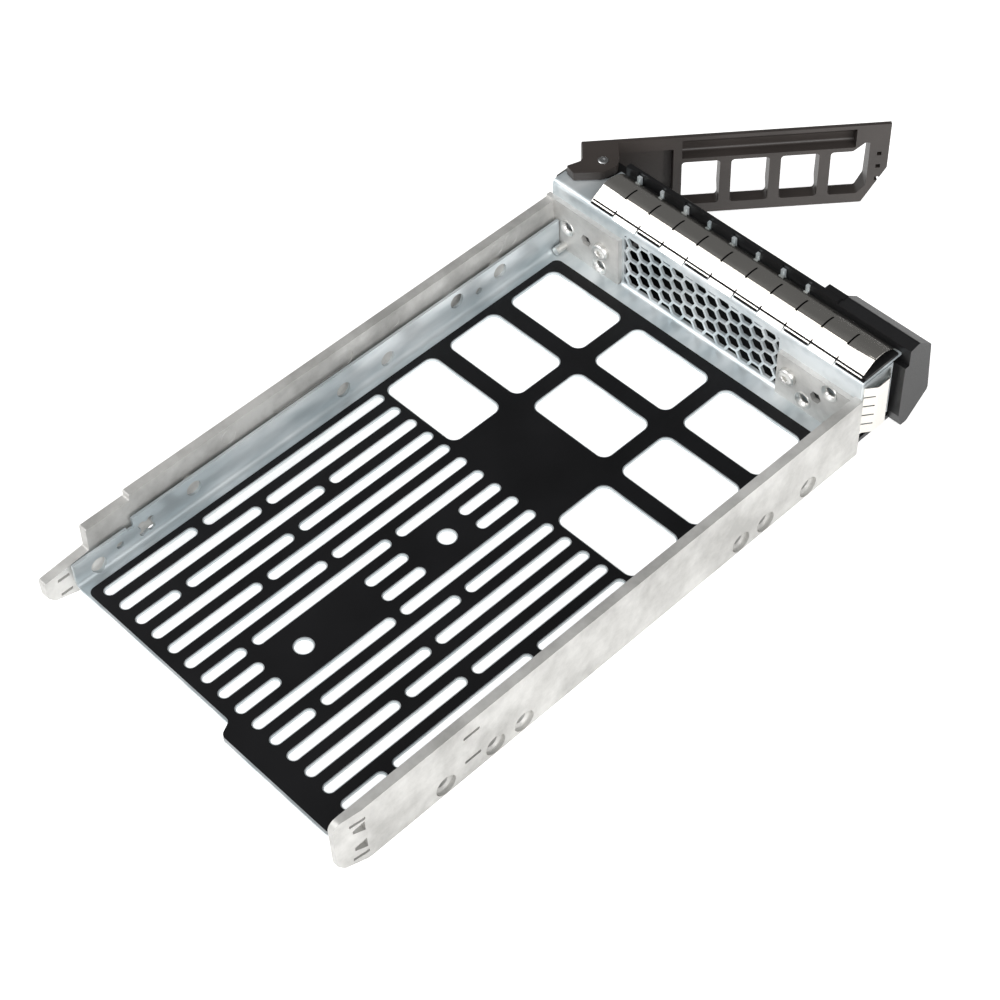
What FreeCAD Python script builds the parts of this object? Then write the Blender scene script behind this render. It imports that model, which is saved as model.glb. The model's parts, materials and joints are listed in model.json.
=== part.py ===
import FreeCAD, Part
import math
import os
import re
import Sketcher

V = FreeCAD.Vector
doc = FreeCAD.newDocument("DriveCaddy")
dims = doc.addObject("Spreadsheet::Sheet", "Dims")

# Sizes in millimetres and degrees. The origin is the point on the floor film that the
# middle of the drive sits on: +Y is towards the backplane, +Z up, +X the handle's hinge.
# Words that end in At are distances behind the film's front edge, or up from the seat.
sizes = {
    "front": -95.0,          # film's front edge
    "sheet": 0.8,            # tray steel
    "bend": 1.6,             # inside bend of the tray steel
    "filmThick": 0.25,
    "filmHalf": 48.1,
    "filmFrom": 0.4,
    "filmTo": 165.4,
    "filmStep": 4.0,         # the film and floor run further back on the latch side
    "filmStepAt": -9.0,
    "filmRound": 2.0,
    "filmMargin": 0.35,      # steel left showing round each opening of the film
    "wallIn": 51.2,          # half the width between the steel side walls
    "wallTop": 9.7,
    "wallLow": 7.5,          # wall height behind the notch
    "wallLowAt": 147.0,
    "notchWide": 2.0,
    "notchDeep": 0.9,
    "wallTo": 166.0,
    "wallHole": 2.3,         # radius of the drive holes in the walls
    "wallPip": 1.1,          # radius of the small holes beside them
    # openings in the floor
    "windowWide": 27.6,
    "windowLong": 18.1,
    "windowPitchX": 32.2,
    "windowPitchY": 23.1,
    "windowAt": 3.8,
    "windowRound": 3.0,
    "slotPitch": 6.35,
    "slotHalf": 1.8,
    "slotFrom": 71.2,
    "slotTo": 161.0,
    "bridgeHalf": 3.0,
    "bridgeMid": 132.2,
    "bridgeFore": 116.3,
    "bridgePairFore": 100.4,
    "bridgePairAft": 147.9,
    "shortSlot": 10.2,
    "floorHole": 2.77,
    "floorHoleX": -3.0,
    "floorHoleFore": 90.65,
    "floorHoleAft": 138.5,
    # steel front wall, its flanges and its honeycomb
    "wallRear": -5.5,        # rear face of the front wall
    "frontHalf": 55.2,
    "flangeTop": 21.0,
    "flangeTo": -20.9,
    "sideFlangeTo": -17.9,
    "sideFlangeLow": 1.0,
    "sideFlangeHigh": 19.6,
    "hingeCutX": 43.6,       # the flange stops here beside the handle's lug
    "hingeCutStep": 5.0,
    "combHalf": 27.8,
    "combLow": 0.6,
    "combHigh": 18.0,
    "combPitch": 4.7,
    "combWeb": 0.8,
    "tabPitch": 17.36,
    "tabApart": 8.6,
    "tabWide": 1.2,
    "tabRise": 2.0,          # the tabs stand up at both ends of the bezel's notches
    "tabClear": 0.2,
    # cast rails
    "railIn": 53.5,
    "railThick": 2.7,
    "railTop": 15.3,
    "railLow": -5.0,
    "railTo": 173.7,
    "railRound": 2.6,
    "blockIn": 28.75,
    "blockThick": 1.5,
    "hingeBlockTop": 16.0,
    "latchBlockTop": 14.6,
    "bossRadius": 3.0,
    "boreAft": 141.1,        # drive screw recesses: two pairs 101.6 apart
    "borePitch": 101.6,
    "boreNext": 25.4,
    "boreFore": 30.3,
    "boreMid": 125.1,
    "boreUp": -1.6,
    "boreRadius": 3.1,
    "boreDeep": 1.0,
    "boreCone": 2.5,
    "boreHole": 1.75,
    "tipFrom": 8.4,          # the rail's tip, back from its end: tapered, with two pockets
    "tipTaper": 1.1,
    "pocketLong": 3.4,
    "pocketDeep": 1.5,
    # spring gaskets
    "gasketThick": 0.25,
    "gasketFrom": -54.0,
    "gasketTo": 41.5,
    "gasketRise": 3.9,
    "gasketRear": -5.9,
    "gasketFold": -10.2,
    "gasketKnee": -16.2,
    "gasketFront": -19.6,
    "gasketCurve": 2.6,
    "fingerPitch": 8.68,
    "fingerSlit": 0.45,
    "slitRear": 1.6,
    "slitTopFrom": -15.0,
    "slitTopTo": -10.0,
    "sideGasketOut": 2.4,
    "sideSlitLong": 2.6,
    "sideGasketLow": 2.0,
    "sideGasketHigh": 18.6,
    "sideGasketRear": -6.5,
    "sideGasketFront": -17.0,
    # bezel
    "bezelHalf": 58.0,
    "bezelTop": 24.0,
    "bezelLow": -4.5,
    "barRear": -21.0,
    "barFront": -23.2,
    "barTo": 42.0,
    "shelfFront": -25.1,
    "shelfFrom": -27.7,
    "latchFrom": -33.4,
    "latchFront": -31.0,
    "latchRear": -19.5,
    "skirtThick": 1.5,       # the bezel's floor, which closes the air duct below
    "skirtTo": -7.5,
    "skirtLatch": -54.0,
    "skirtHinge": 37.5,
    # hinge and handle, in the closed handle's own frame about the pin
    "pinX": 48.3,
    "pinY": -18.3,
    "pinRadius": 1.5,
    "pinClear": 0.05,
    "clipThick": 0.4,
    "clipRadius": 3.1,
    "hingeBoss": 5.8,
    "boreGap": 0.3,          # gap between the lugs and the hinge block
    "openAngle": 49.4,
    "handleRear": -7.2,
    "handleDeep": 6.0,
    "handleEnd": 5.2,
    "handleTip": -81.1,
    "handleTop": 24.0,
    "handleLow": -4.4,
    "lugThick": 2.7,
    "clawOut": 10.2,
    "gripLong": 10.8,        # windows in the handle and the bezel behind it
    "gripPitch": 14.0,
    "gripFrom": -22.8,
    "gripLow": -1.0,
    "gripHigh": 14.8,
    "gripRound": 1.0,
    "channelLow": 16.2,
    "channelHigh": 22.3,
    "handleWall": 1.2,
    "hollowFrom": -20.4,
    "hollowTo": -4.8,
    "hollowDeep": 3.4,
    "hollowWell": 2.4,       # deeper groove at the hollow's inner end
    "gripRise": 2.9,         # how far the last window's outer corner rises
    "tipSlot": 1.3,
    # release button
    "buttonX": -46.0,
    "buttonWide": 16.0,
    "buttonLow": 4.5,
    "buttonHigh": 17.5,
    "buttonOut": 0.8,
    "buttonClear": 0.3,
    "buttonRear": -24.5,
    "buttonTravel": 2.0,
    "springRadius": 2.2,
    "springWire": 0.45,
    "coilRadius": 2.6,       # torsion spring round the pin
    "coilWire": 0.7,
    "coilLow": 8.0,
    "coilHigh": 13.0,
    "coilClear": 0.4,
    # screws
    "screwHead": 2.7,
    "screwHeadTall": 1.5,
    "screwShank": 1.5,
    "screwSocket": 1.1,
    "screwLong": 3.6,
    "sinkHead": 2.3,
    "sinkDeep": 1.1,
    "rivetWall": 0.35,
    "hexHole": 1.9,
    # short locating pins in the two inner corners
    "cornerPin": 1.2,
    "cornerPinLong": 3.6,
    "cornerPinIn": 1.8,
}
row = 1
for word, number in sizes.items():
    dims.set("A%d" % row, word)
    dims.set("B%d" % row, str(number))
    dims.setAlias("B%d" % row, word)
    row += 1
doc.recompute()

turns = {
    "XY": FreeCAD.Rotation(),
    "YZ": FreeCAD.Rotation(V(1, 1, 1), 120),
    "XZ": FreeCAD.Rotation(V(1, 0, 0), 90),
}
normals = {"XY": V(0, 0, 1), "YZ": V(1, 0, 0), "XZ": V(0, 1, 0)}
normalNames = {"XY": "z", "YZ": "x", "XZ": "y"}
nodes = []


def full(text):
    return re.sub(r"\b([a-z]\w*)\b(?!\()", r"Dims.\1", str(text))


def value(text):
    return float(dims.evalExpression(full(text)))


def bind(thing, name, text):
    thing.setExpression(name, full(text))


def ring(sketch, points):
    # closed outline: (x, y) is a sharp corner, (x, y, r) a rounded one
    corners = []
    for point in points:
        corners.append((value(point[0]), value(point[1]), value(point[2]) if len(point) > 2 else 0.0))
    count = len(corners)
    ends = []
    for i in range(count):
        here = V(corners[i][0], corners[i][1], 0)
        before = V(corners[i - 1][0], corners[i - 1][1], 0) - here
        after = V(corners[(i + 1) % count][0], corners[(i + 1) % count][1], 0) - here
        before.normalize()
        after.normalize()
        radius = corners[i][2]
        half = before.getAngle(after) / 2
        reach = radius / math.tan(half)
        left = before.cross(after).z < 0
        middle = (before + after).normalize() * (radius / math.sin(half)) + here if radius else here
        ends.append((here + before * reach, here + after * reach, middle, radius, left))
    first = sketch.GeometryCount
    shapes = []
    for i in range(count):
        shapes.append(Part.LineSegment(ends[i][1], ends[(i + 1) % count][0]))
    arcs = {}
    for i in range(count):
        start, stop, middle, radius, left = ends[i]
        if not radius:
            continue
        if not left:
            start, stop = stop, start
        low = math.atan2(start.y - middle.y, start.x - middle.x)
        high = math.atan2(stop.y - middle.y, stop.x - middle.x)
        if high < low:
            high += 2 * math.pi
        arcs[i] = first + len(shapes)
        shapes.append(Part.ArcOfCircle(Part.Circle(middle, V(0, 0, 1), radius), low, high))
    sketch.addGeometry(shapes, False)
    rules = []
    bound = []
    for i in range(count):
        last = first + (i - 1) % count
        nextLine = first + i
        if i not in arcs:
            rules.append(Sketcher.Constraint("Coincident", last, 2, nextLine, 1))
            spot, which = nextLine, 1
        else:
            left = ends[i][4]
            rules.append(Sketcher.Constraint("Tangent", last, 2, arcs[i], 1 if left else 2))
            rules.append(Sketcher.Constraint("Tangent", nextLine, 1, arcs[i], 2 if left else 1))
            spot = sketch.addGeometry(Part.Point(V(corners[i][0], corners[i][1], 0)), True)
            which = 1
            rules.append(Sketcher.Constraint("PointOnObject", spot, 1, last))
            rules.append(Sketcher.Constraint("PointOnObject", spot, 1, nextLine))
            bound.append((len(rules), points[i][2]))
            rules.append(Sketcher.Constraint("Radius", arcs[i], corners[i][2]))
        bound.append((len(rules), points[i][0]))
        rules.append(Sketcher.Constraint("DistanceX", -1, 1, spot, which, corners[i][0]))
        bound.append((len(rules), points[i][1]))
        rules.append(Sketcher.Constraint("DistanceY", -1, 1, spot, which, corners[i][1]))
    base = sketch.ConstraintCount
    sketch.addConstraint(rules)
    for index, text in bound:
        bind(sketch, "Constraints[%d]" % (base + index), text)


def slotRing(sketch, x, low, high, radius):
    # a slot along the sketch's y, from one end's centre to the other's
    r = value(radius)
    bottom = V(value(x), value(low), 0)
    top = V(value(x), value(high), 0)
    first = sketch.GeometryCount
    sketch.addGeometry([
        Part.ArcOfCircle(Part.Circle(bottom, V(0, 0, 1), r), math.pi, 2 * math.pi),
        Part.LineSegment(bottom + V(r, 0, 0), top + V(r, 0, 0)),
        Part.ArcOfCircle(Part.Circle(top, V(0, 0, 1), r), 0, math.pi),
        Part.LineSegment(top - V(r, 0, 0), bottom - V(r, 0, 0)),
    ], False)
    base = sketch.ConstraintCount
    sketch.addConstraint([
        Sketcher.Constraint("Tangent", first, 2, first + 1, 1),
        Sketcher.Constraint("Tangent", first + 1, 2, first + 2, 1),
        Sketcher.Constraint("Tangent", first + 2, 2, first + 3, 1),
        Sketcher.Constraint("Tangent", first + 3, 2, first, 1),
        Sketcher.Constraint("DistanceX", -1, 1, first, 3, bottom.x),
        Sketcher.Constraint("DistanceY", -1, 1, first, 3, bottom.y),
        Sketcher.Constraint("Vertical", first, 3, first + 2, 3),
        Sketcher.Constraint("DistanceY", -1, 1, first + 2, 3, top.y),
        Sketcher.Constraint("Radius", first, r),
    ])
    for index, text in ((4, x), (5, low), (7, high), (8, radius)):
        bind(sketch, "Constraints[%d]" % (base + index), text)


def extrude(name, plane, low, high, fill):
    # fill draws the sketch, which is swept along the plane's normal from low to high
    sketch = doc.addObject("Sketcher::SketchObject", name + "Outline")
    sketch.Placement = FreeCAD.Placement(V(), turns[plane])
    bind(sketch, "Placement.Base." + normalNames[plane], low)
    fill(sketch)
    body = doc.addObject("Part::Extrusion", name)
    body.Base = sketch
    body.DirMode = "Custom"
    body.Dir = normals[plane]
    body.Solid = True
    bind(body, "LengthFwd", "(%s) - (%s)" % (high, low))
    return body


def prism(name, plane, low, high, points):
    return extrude(name, plane, low, high, lambda sketch: ring(sketch, points))


def box(name, x, y, z):
    thing = doc.addObject("Part::Box", name)
    for axis, size, span in (("x", "Length", x), ("y", "Width", y), ("z", "Height", z)):
        bind(thing, "Placement.Base." + axis, span[0])
        bind(thing, size, "(%s) - (%s)" % (span[1], span[0]))
    return thing


def rod(name, axis, at, low, high, radius, top=None):
    # cylinder along an axis through at, or a cone where a top radius is given
    thing = doc.addObject("Part::Cone" if top else "Part::Cylinder", name)
    turn = {"x": FreeCAD.Rotation(V(0, 1, 0), 90), "y": FreeCAD.Rotation(V(1, 0, 0), -90), "z": FreeCAD.Rotation()}
    thing.Placement = FreeCAD.Placement(V(), turn[axis])
    spots = {"x": (low, at[0], at[1]), "y": (at[0], low, at[1]), "z": (at[0], at[1], low)}
    for name, text in zip("xyz", spots[axis]):
        bind(thing, "Placement.Base." + name, text)
    bind(thing, "Height", "(%s) - (%s)" % (high, low))
    if top:
        bind(thing, "Radius1", radius)
        bind(thing, "Radius2", top)
    else:
        bind(thing, "Radius", radius)
    return thing


def hexRod(name, at, low, high, radius):
    # six-sided hole along y with a flat side up
    thing = doc.addObject("Part::Prism", name)
    thing.Polygon = 6
    thing.Placement = FreeCAD.Placement(V(), FreeCAD.Rotation(V(1, 0, 0), -90))
    for name, text in zip("xyz", (at[0], low, at[1])):
        bind(thing, "Placement.Base." + name, text)
    bind(thing, "Height", "(%s) - (%s)" % (high, low))
    bind(thing, "Circumradius", radius)
    return thing


def group(name, things):
    thing = doc.addObject("Part::Compound", name)
    thing.Links = things
    return thing


def fuse(name, things):
    thing = doc.addObject("Part::MultiFuse", name)
    thing.Shapes = things
    thing.Refine = True
    return thing


def cut(name, base, tools):
    thing = doc.addObject("Part::Cut", name)
    thing.Base = base
    thing.Tool = tools[0] if len(tools) == 1 else fuse(name + "Tools", tools)
    thing.Refine = True
    return thing


def keep(thing, label):
    thing.Label = label
    nodes.append(thing)
    return thing


def mirrored(side, text):
    return text if side > 0 else "-(%s)" % text


def span(side, low, high):
    # a range of x on one side of the caddy, lowest first
    return (low, high) if side > 0 else ("-(%s)" % high, "-(%s)" % low)


floorTop = "-filmThick"
floorLow = "-(filmThick + sheet)"
wallOut = "(wallIn + sheet)"
blockRear = "(front + wallRear + blockThick)"
wallRearY = "(front + wallRear)"
wallFrontY = "(front + wallRear - sheet)"
pinXY = ("pinX", "front + pinY")

# ---- openings through the floor and, a little larger, through its film
bridges = {"mid": ["bridgeMid"], "fore": ["bridgeFore"], "pair": ["bridgePairFore", "bridgePairAft"]}
slotRows = ["mid", "fore", "pair", "fore", "mid", "fore", "pair", "short", "short"]
slotRows += ["fore", "pair", "fore", "mid", "fore", "pair"]


def slotRow(kind, x, radius):
    def fill(sketch):
        if kind == "short":
            for low in ("slotFrom", "bridgePairFore + bridgeHalf", "slotTo - shortSlot"):
                slotRing(sketch, x, "front + " + low, "front + %s + shortSlot" % low, radius)
            return
        low = "slotFrom"
        for bridge in bridges[kind]:
            slotRing(sketch, x, "front + " + low, "front + %s - bridgeHalf" % bridge, radius)
            low = bridge + " + bridgeHalf"
        slotRing(sketch, x, "front + " + low, "front + slotTo", radius)
    return fill


def floorCuts(name, margin, low, high):
    # every opening, held back from its edge by the margin
    cuts = []
    for column in (-1, 0, 1):
        for line in (0, 1, 2):
            if column == 0 and line == 2:
                continue
            left = "%d * windowPitchX - windowWide / 2 + %s" % (column, margin)
            right = "%d * windowPitchX + windowWide / 2 - %s" % (column, margin)
            near = "front + windowAt + %d * windowPitchY + %s" % (line, margin)
            far = "front + windowAt + %d * windowPitchY + windowLong - %s" % (line, margin)
            cuts.append(prism("%sWindow%d%d" % (name, column + 1, line), "XY", low, high, [
                (x, y, "windowRound - " + margin) for x, y in ((left, near), (right, near), (right, far), (left, far))]))
    for index, kind in enumerate(slotRows):
        x = "%d * slotPitch" % (7 - index)
        cuts.append(extrude("%sSlots%d" % (name, index), "XY", low, high, slotRow(kind, x, "slotHalf - " + margin)))
    for word in ("floorHoleFore", "floorHoleAft"):
        cuts.append(rod(name + word, "z", ("floorHoleX", "front + " + word), low, high, "floorHole - " + margin))
    return group(name + "Openings", cuts)


# ---- steel tray: folded floor and side walls
channel = prism("Channel", "XZ", "front + wallRear + blockThick + 0.3", "front + wallTo", [
    ("-wallIn", "wallTop"), ("-wallIn", floorTop, "bend"), ("wallIn", floorTop, "bend"), ("wallIn", "wallTop"),
    (wallOut, "wallTop"), (wallOut, floorLow, "bend + sheet"), ("-" + wallOut, floorLow, "bend + sheet"),
    ("-" + wallOut, "wallTop")])
tongue = prism("RearTongue", "XY", floorLow, floorTop, [
    ("-filmHalf - 0.4", "front + wallTo - 1"), ("filmStepAt", "front + wallTo - 1"),
    ("filmStepAt", "front + wallTo + filmStep", "filmRound"),
    ("-filmHalf - 0.4", "front + wallTo + filmStep", "filmRound")])
# front fold of the floor, then the front wall with its top flange
frontFold = prism("FrontFold", "YZ", "-blockIn + 0.3", "blockIn - 0.3", [
    ("front + wallRear + blockThick + 1", floorLow), ("front + wallRear + blockThick + 1", floorTop),
    (wallRearY, floorTop, "bend"), (wallRearY, floorTop + " + 4"), (wallFrontY, floorTop + " + 4"),
    (wallFrontY, floorLow, "bend + sheet")])
frontWall = prism("FrontWall", "YZ", "-frontHalf", "frontHalf", [
    (wallFrontY, floorTop + " + 3"), (wallRearY, floorTop + " + 3"), (wallRearY, "flangeTop", "bend"),
    ("front + flangeTo", "flangeTop"), ("front + flangeTo", "flangeTop - sheet"),
    (wallFrontY, "flangeTop - sheet", "bend - sheet")])
sides = []
for side, label in ((1, "Hinge"), (-1, "Latch")):
    # beside the fold the floor and wall meet square, under the rail's corner block
    sides.append(box(label + "Foot", span(side, "blockIn - 0.3", "frontHalf"), (wallFrontY, wallRearY),
                     (floorLow, floorTop + " + 4")))
    sides.append(box(label + "Lip", span(side, "blockIn - 0.3", "wallIn - bend"),
                     (wallFrontY, "front + wallRear + blockThick + 1"), (floorLow, floorTop)))
    sides.append(box(label + "Flange", span(side, "frontHalf - sheet", "frontHalf"),
                     ("front + sideFlangeTo", wallRearY), ("sideFlangeLow", "sideFlangeHigh")))
tabs = []
tabCentres = ["gasketTo - %s * tabPitch" % (index + 0.5) for index in range(4)]
for index, middle in enumerate(tabCentres):
    for end in (-1, 1):
        at = middle + " + %d * tabApart / 2" % end
        tabs.append(box("Tab%d_%d" % (index, end + 1), (at + " - tabWide / 2", at + " + tabWide / 2"),
                        ("front + flangeTo - sheet", "front + flangeTo + 0.1"), ("flangeTop - sheet", "flangeTop + tabRise")))
trayBlank = fuse("TrayBlank", [channel, tongue, frontFold, frontWall] + sides + tabs)

# honeycomb: columns of flat-topped hexagons, every other column half a pitch up
columnPitch = "(combPitch * cos(30))"
cells = []
for column in range(-7, 8):
    for line in range(-1, 5):
        up = "combLow + combPitch * %s" % (line + 0.5 + 0.5 * (column % 2))
        cells.append(hexRod("Cell%d_%d" % (column + 7, line + 1), ("%d * %s" % (column, columnPitch), up),
                            wallFrontY + " - 1", wallRearY + " + 1", "(combPitch - combWeb) / 2 / cos(30)"))
combField = box("CombField", ("-combHalf", "combHalf"), (wallFrontY + " - 2", wallRearY + " + 2"),
                ("combLow", "combHigh"))
comb = doc.addObject("Part::Common", "Honeycomb")
comb.Base = combField
comb.Tool = group("CombCells", cells)

hingeCut = prism("HingeCut", "XY", "flangeTop - sheet - 0.5", "flangeTop + 0.5", [
    ("frontHalf + 1", "front + wallRear - hingeCutStep"), ("frontHalf - hingeCutStep", "front + wallRear - hingeCutStep"),
    ("hingeCutX + 0.8", "front + pinY + 1.7"), ("hingeCutX", "front + flangeTo - 1"),
    ("frontHalf + 1", "front + flangeTo - 1")])
lows = []
notches = []
for side, label in ((1, "Hinge"), (-1, "Latch")):
    lows.append(box(label + "WallLow", span(side, "wallIn - 1", "wallIn + sheet + 1"),
                    ("front + wallLowAt", "front + wallTo + 1"), ("wallLow", "wallTop + 1")))
    notches.append(box(label + "Notch", span(side, "wallIn - 1", "wallIn + sheet + 1"),
                       ("front + wallLowAt", "front + wallLowAt + notchWide"), ("wallLow - notchDeep", "wallLow + 1")))

# holes in the side walls for drives that fasten from the side: distance back and height
wallHoles = [(158.9, 2.3), (143.3, 4.0), (127.7, 5.4), (77.0, 3.0), (61.2, 3.0), (35.5, 6.2), (19.2, 6.1)]
wallPips = [(151.8, 3.7), (27.3, 4.2)]
drilled = []
for index, (back, up) in enumerate(wallHoles):
    radius = "wallHole - 0.4" if index == 1 else "wallHole"
    drilled.append(rod("WallHole%d" % index, "x", ("front + %s" % back, up), "-wallIn - 3", "wallIn + 3", radius))
for index, turn in enumerate([(1.4, 1.4), (-1.4, 1.4), (-1.4, -1.4), (1.4, -1.4)]):
    back, up = wallHoles[1]
    drilled.append(rod("Clover%d" % index, "x", ("front + %s + %s" % (back, turn[0]), "%s + %s" % (up, turn[1])),
                       "-wallIn - 3", "wallIn + 3", "wallPip"))
for index, (back, up) in enumerate(wallPips):
    drilled.append(rod("WallPip%d" % index, "x", ("front + %s" % back, up), "-wallIn - 3", "wallIn + 3", "wallPip"))

# fasteners in the corner blocks: x and height
hingeScrew = ("35.0", "8.4")
latchScrew = ("-32.7", "8.5")
hingeSinks = [("48.3", "8.3"), ("35.9", "2.1")]
latchSinks = [("-38.2", "3.5"), ("-46.4", "12.2")]
hingeHex = ("41.0", "8.3")
latchHex = ("-42.2", "7.4")
fixings = []
for index, at in enumerate([hingeScrew, latchScrew]):
    fixings.append(rod("FixHole%d" % index, "y", at, wallFrontY + " - 1", wallRearY + " + 1", "screwShank"))
for index, at in enumerate(hingeSinks + latchSinks):
    fixings.append(rod("SinkHole%d" % index, "y", at, wallFrontY + " - 1", wallRearY + " + 1", "screwShank"))

tray = cut("Tray", trayBlank, [group("TrayCuts", [hingeCut, comb] + lows + fixings)] )
tray = cut("TrayNotched", tray, [group("TrayNotches", notches + drilled)])
tray = cut("TrayOpen", tray, [floorCuts("Floor", "filmMargin", floorLow + " - 1", floorTop + " + 1")])
keep(tray, "drive_tray")

filmBlank = prism("FilmBlank", "XY", "-filmThick", "0", [
    ("-filmHalf", "front + filmFrom", "filmRound"), ("filmHalf", "front + filmFrom", "filmRound"),
    ("filmHalf", "front + filmTo", "filmRound"), ("filmStepAt + filmStep / 2", "front + filmTo", "filmRound * 0.9"),
    ("filmStepAt", "front + filmTo + filmStep", "filmRound * 0.9"),
    ("-filmHalf", "front + filmTo + filmStep", "filmRound")])
keep(cut("Film", filmBlank, [floorCuts("Film", "0", "-filmThick - 1", "1")]), "floor_film")


# ---- cast rails with the corner blocks they turn into at the front
def railSolid(side, label, points, blockTop, screwAt, sinks, hexAt):
    x = span(side, "railIn", "railIn + railThick")
    plate = prism(label + "Rail", "YZ", x[0], x[1], points)
    blockX = span(side, "blockIn", "railIn + railThick")
    block = box(label + "Block", blockX, (wallRearY, blockRear), (floorTop, blockTop))
    bosses = []
    for index, (back, up) in enumerate([wallHoles[2], wallHoles[4], wallHoles[6]]):
        bossX = span(side, "wallIn + sheet", "railIn + 0.5")
        bosses.append(rod("%sBoss%d" % (label, index), "x", ("front + %s" % back, up), bossX[0], bossX[1], "bossRadius"))
    blank = fuse(label + "Blank", [plate, block] + bosses)
    cuts = [rod(label + "ScrewHole", "y", screwAt, wallRearY + " - 1", blockRear + " + 1", "screwShank")]
    for index, at in enumerate(sinks):
        cuts.append(rod("%sSink%d" % (label, index), "y", at, wallRearY + " - 1", blockRear + " - sinkDeep + 0.01", "screwShank"))
        cuts.append(rod("%sSinkCone%d" % (label, index), "y", at, blockRear + " - sinkDeep - 0.01", blockRear + " + 0.01",
                        "screwShank", "sinkHead"))
    cuts.append(hexRod(label + "Hex", hexAt, wallRearY + " - 1", blockRear + " + 1", "hexHole"))
    return blank, cuts


backs = ["boreAft", "boreAft - borePitch", "boreAft - boreNext", "boreMid", "boreFore", "boreAft - boreNext - borePitch"]
latchPoints = [
    (wallRearY, "railLow"), ("front + railTo - 9", "railLow"), ("front + railTo - 1.8", "railLow + 1.9", 1.5),
    ("front + railTo", "railLow + 4.4", 1.5), ("front + railTo", "railTop", "railRound"), (wallRearY, "railTop")]
blank, cuts = railSolid(-1, "Latch", latchPoints, "latchBlockTop", latchScrew, latchSinks, latchHex)
for index, back in enumerate(backs):
    out = "-railIn - railThick"
    cuts.append(rod("LatchBore%d" % index, "x", ("front + " + back, "boreUp"), out + " - 1", out + " + boreDeep", "boreRadius"))
    cuts.append(rod("LatchBoreCone%d" % index, "x", ("front + " + back, "boreUp"), out + " + boreDeep - 0.01",
                    out + " + boreDeep + 0.5", "boreCone", "boreHole"))
    cuts.append(rod("LatchBoreHole%d" % index, "x", ("front + " + back, "boreUp"), out, "-railIn + 1", "boreHole"))
for index, (low, high, up) in enumerate([("129.7", "134.8", "10.4"), ("129.7", "134.8", "1.0"),
                                         ("165.0", "169.4", "11.5"), ("165.0", "169.4", "-1.9")]):
    cuts.append(box("LatchSlit%d" % index, ("-railIn - railThick - 1", "-railIn + 1"),
                    ("front + " + low, "front + " + high), (up + " - 0.5", up + " + 0.5")))
cuts.append(prism("LatchTipTaper", "XY", "railLow - 1", "railTop + 1", [
    ("-railIn - railThick - 1", "front + railTo - tipFrom + 0.5"), ("-railIn - railThick", "front + railTo - tipFrom + 0.5"),
    ("-railIn - railThick + tipTaper", "front + railTo + 0.1"), ("-railIn - railThick - 1", "front + railTo + 0.1")]))
for index, (low, high) in enumerate([("0.0", "3.6"), ("7.0", "10.5")]):
    cuts.append(prism("LatchPocket%d" % index, "YZ", "-railIn - railThick - 1", "-railIn - railThick + pocketDeep", [
        ("front + railTo - tipFrom", low), ("front + railTo - tipFrom + pocketLong", low + " + 1.2"),
        ("front + railTo - tipFrom + pocketLong", high + " - 1.2"), ("front + railTo - tipFrom", high)]))
keep(cut("LatchRail", blank, cuts), "latch_side_rail")

hingePoints = [
    (wallRearY, "railLow"), ("front + railTo - 9", "railLow"), ("front + railTo - 2", "railLow + 2.2", 1.0),
    ("front + railTo - 0.2", "railLow + 4.6", 0.6), ("front + railTo - 0.2", "railTop - 10.3", 0.6),
    ("front + railTo - 14.4", "railTop - 8.9", 0.5), ("front + railTo - 14.7", "railTop - 1.8", 0.5),
    ("front + railTo - 28.5", "railTop - 1.7", 0.4), ("front + railTo - 28.6", "railTop", 0.4),
    (wallRearY, "railTop")]
blank, cuts = railSolid(1, "Hinge", hingePoints, "hingeBlockTop", hingeScrew, hingeSinks, hingeHex)
for index, up in enumerate(["3.1", "-2.2"]):
    cuts.append(box("HingeSlit%d" % index, ("railIn - 1", "railIn + railThick + 1"),
                    ("front + 166.2", "front + 169.7"), (up + " - 0.5", up + " + 0.5")))
for index, back in enumerate(backs):
    out = "railIn + railThick"
    cuts.append(rod("HingeBore%d" % index, "x", ("front + " + back, "boreUp"), out + " - boreDeep", out + " + 1", "boreRadius"))
    cuts.append(rod("HingeBoreCone%d" % index, "x", ("front + " + back, "boreUp"), out + " - boreDeep - 0.5",
                    out + " - boreDeep + 0.01", "boreHole", "boreCone"))
    cuts.append(rod("HingeBoreHole%d" % index, "x", ("front + " + back, "boreUp"), "railIn - 1", out, "boreHole"))
cuts.append(prism("HingePad", "YZ", "railIn - 1", "railIn + 0.4", [
    ("front + 70.8", "8", 2.4), ("front + 98.8", "8", 2.4), ("front + 98.8", "13", 2.4), ("front + 70.8", "13", 2.4)]))
keep(cut("HingeRail", blank, cuts), "hinge_side_rail")

# ---- fasteners in the corner blocks
for label, at in (("hinge_block_screw", hingeScrew), ("latch_block_screw", latchScrew)):
    name = label.title().replace("_", "")
    head = rod(name + "Head", "y", at, blockRear, blockRear + " + screwHeadTall", "screwHead", "screwHead * 0.7")
    shank = rod(name + "Shank", "y", at, blockRear + " - screwLong", blockRear + " + 0.1", "screwShank - 0.05")
    socket = rod(name + "Socket", "y", at, blockRear + " + screwHeadTall - 0.9", blockRear + " + screwHeadTall + 1", "screwSocket")
    keep(cut(name, fuse(name + "Blank", [head, shank]), [socket]), label)
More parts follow.
